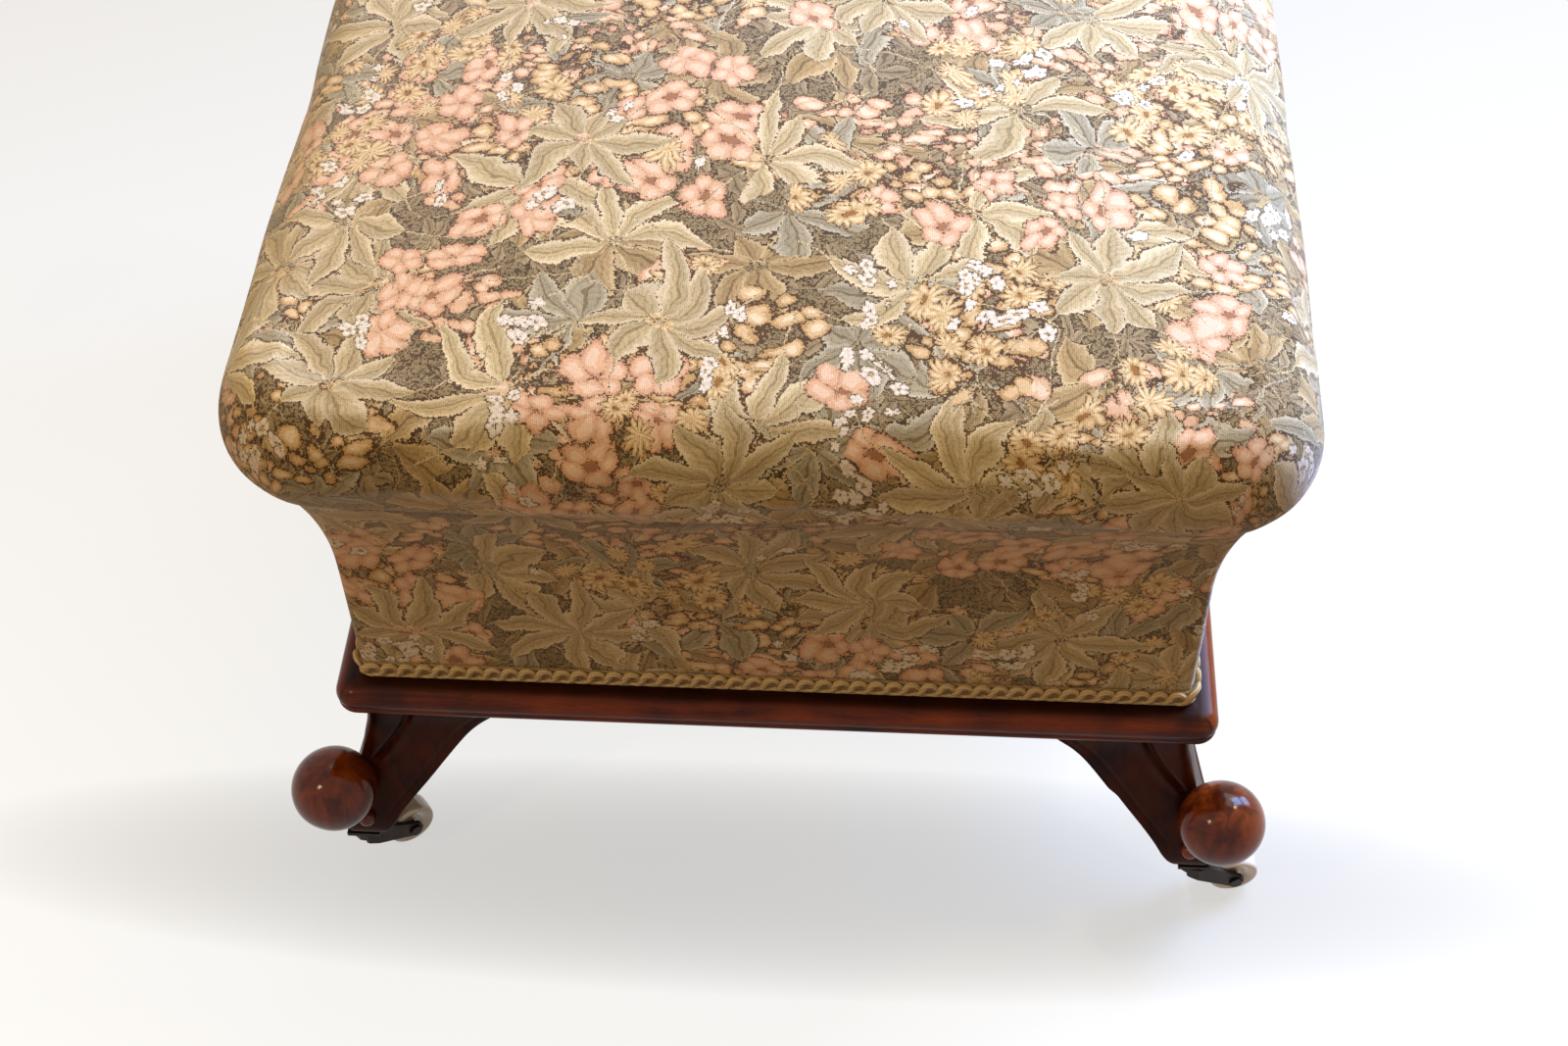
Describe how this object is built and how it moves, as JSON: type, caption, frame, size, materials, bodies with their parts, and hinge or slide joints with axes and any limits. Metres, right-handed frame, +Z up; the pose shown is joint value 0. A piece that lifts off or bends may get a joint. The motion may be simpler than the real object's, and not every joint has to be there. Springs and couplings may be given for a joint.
{
  "type": "upholstered footstool",
  "caption": "Square upholstered footstool with a domed padded top, hollowed cloth sides, braid, a wooden plinth and scrolled ball-toed legs on swivel castors.",
  "frame": {"origin": "on the floor under the middle of the stool, with the four wheels resting on the floor", "axes": "+Z up, +X to the viewer's right in the picture, +Y away from the viewer"},
  "size_m": [0.4993, 0.4928, 0.3833],
  "materials": {
    "show_wood": "French-polished dark red-brown mahogany",
    "frame_wood": "bare sawn beech and pine",
    "tapestry": "machine-woven tapestry, olive and gold with leaves and small flowers",
    "braid": "gold gimp braid",
    "webbing": "jute webbing",
    "hessian": "plain jute hessian",
    "stuffing": "curled hair and flock",
    "dust_cloth": "black glazed cotton",
    "steel": "dull iron, darkened with age",
    "old_brass": "tarnished brass",
    "white_ceramic": "cream glazed ceramic"
  },
  "bodies": {
    "stool": {"plinth_front": "show_wood", "plinth_right": "show_wood", "plinth_back": "show_wood", "plinth_left": "show_wood", "leg_front_left": "show_wood", "leg_front_right": "show_wood", "leg_back_left": "show_wood", "leg_back_right": "show_wood", "carcass_front": "frame_wood", "carcass_right": "frame_wood", "carcass_back": "frame_wood", "carcass_left": "frame_wood", "corner_block_front_left": "frame_wood", "corner_block_front_right": "frame_wood", "corner_block_back_left": "frame_wood", "corner_block_back_right": "frame_wood", "top_cover": "tapestry", "flank_cover": "tapestry", "gimp_braid": "braid", "webbing_lengthwise": "webbing", "webbing_crosswise": "webbing", "hessian": "hessian", "first_stuffing": "stuffing", "second_stuffing": "stuffing", "bottom_cloth": "dust_cloth", "bottom_cloth_tacks": "steel", "leg_screws": "steel", "castor_screws": "steel", "castor_plate_front_left": "old_brass", "castor_plate_front_right": "old_brass", "castor_plate_back_left": "old_brass", "castor_plate_back_right": "old_brass", "castor_pivot_front_left": "old_brass", "castor_pivot_front_right": "old_brass", "castor_pivot_back_left": "old_brass", "castor_pivot_back_right": "old_brass"},
    "swivel_front_left": {"castor_fork_front_left": "old_brass", "castor_axle_front_left": "old_brass"},
    "wheel_front_left": {"castor_wheel_front_left": "white_ceramic"},
    "swivel_front_right": {"castor_fork_front_right": "old_brass", "castor_axle_front_right": "old_brass"},
    "wheel_front_right": {"castor_wheel_front_right": "white_ceramic"},
    "swivel_back_left": {"castor_fork_back_left": "old_brass", "castor_axle_back_left": "old_brass"},
    "wheel_back_left": {"castor_wheel_back_left": "white_ceramic"},
    "swivel_back_right": {"castor_fork_back_right": "old_brass", "castor_axle_back_right": "old_brass"},
    "wheel_back_right": {"castor_wheel_back_right": "white_ceramic"}
  },
  "joints": [
    {"name": "swivel_front_left", "type": "hinge", "parent": "stool", "child": "swivel_front_left", "pos_m": [-0.217, -0.217, 0.026], "axis": [0, 0, 1], "continuous": true},
    {"name": "roll_front_left", "type": "hinge", "parent": "swivel_front_left", "child": "wheel_front_left", "pos_m": [-0.19966, -0.20346, 0.0133], "axis": [-0.6157, 0.788, 0], "continuous": true},
    {"name": "swivel_front_right", "type": "hinge", "parent": "stool", "child": "swivel_front_right", "pos_m": [0.217, -0.217, 0.026], "axis": [0, 0, 1], "continuous": true},
    {"name": "roll_front_right", "type": "hinge", "parent": "swivel_front_right", "child": "wheel_front_right", "pos_m": [0.23867, -0.21318, 0.0133], "axis": [-0.1736, 0.9848, 0], "continuous": true},
    {"name": "swivel_back_left", "type": "hinge", "parent": "stool", "child": "swivel_back_left", "pos_m": [-0.217, 0.217, 0.026], "axis": [0, 0, 1], "continuous": true},
    {"name": "roll_back_left", "type": "hinge", "parent": "swivel_back_left", "child": "wheel_back_left", "pos_m": [-0.19795, 0.228, 0.0133], "axis": [-0.5, 0.866, 0], "continuous": true},
    {"name": "swivel_back_right", "type": "hinge", "parent": "stool", "child": "swivel_back_right", "pos_m": [0.217, 0.217, 0.026], "axis": [0, 0, 1], "continuous": true},
    {"name": "roll_back_right", "type": "hinge", "parent": "swivel_back_right", "child": "wheel_back_right", "pos_m": [0.23767, 0.22452, 0.0133], "axis": [-0.342, 0.9397, 0], "continuous": true}
  ]
}
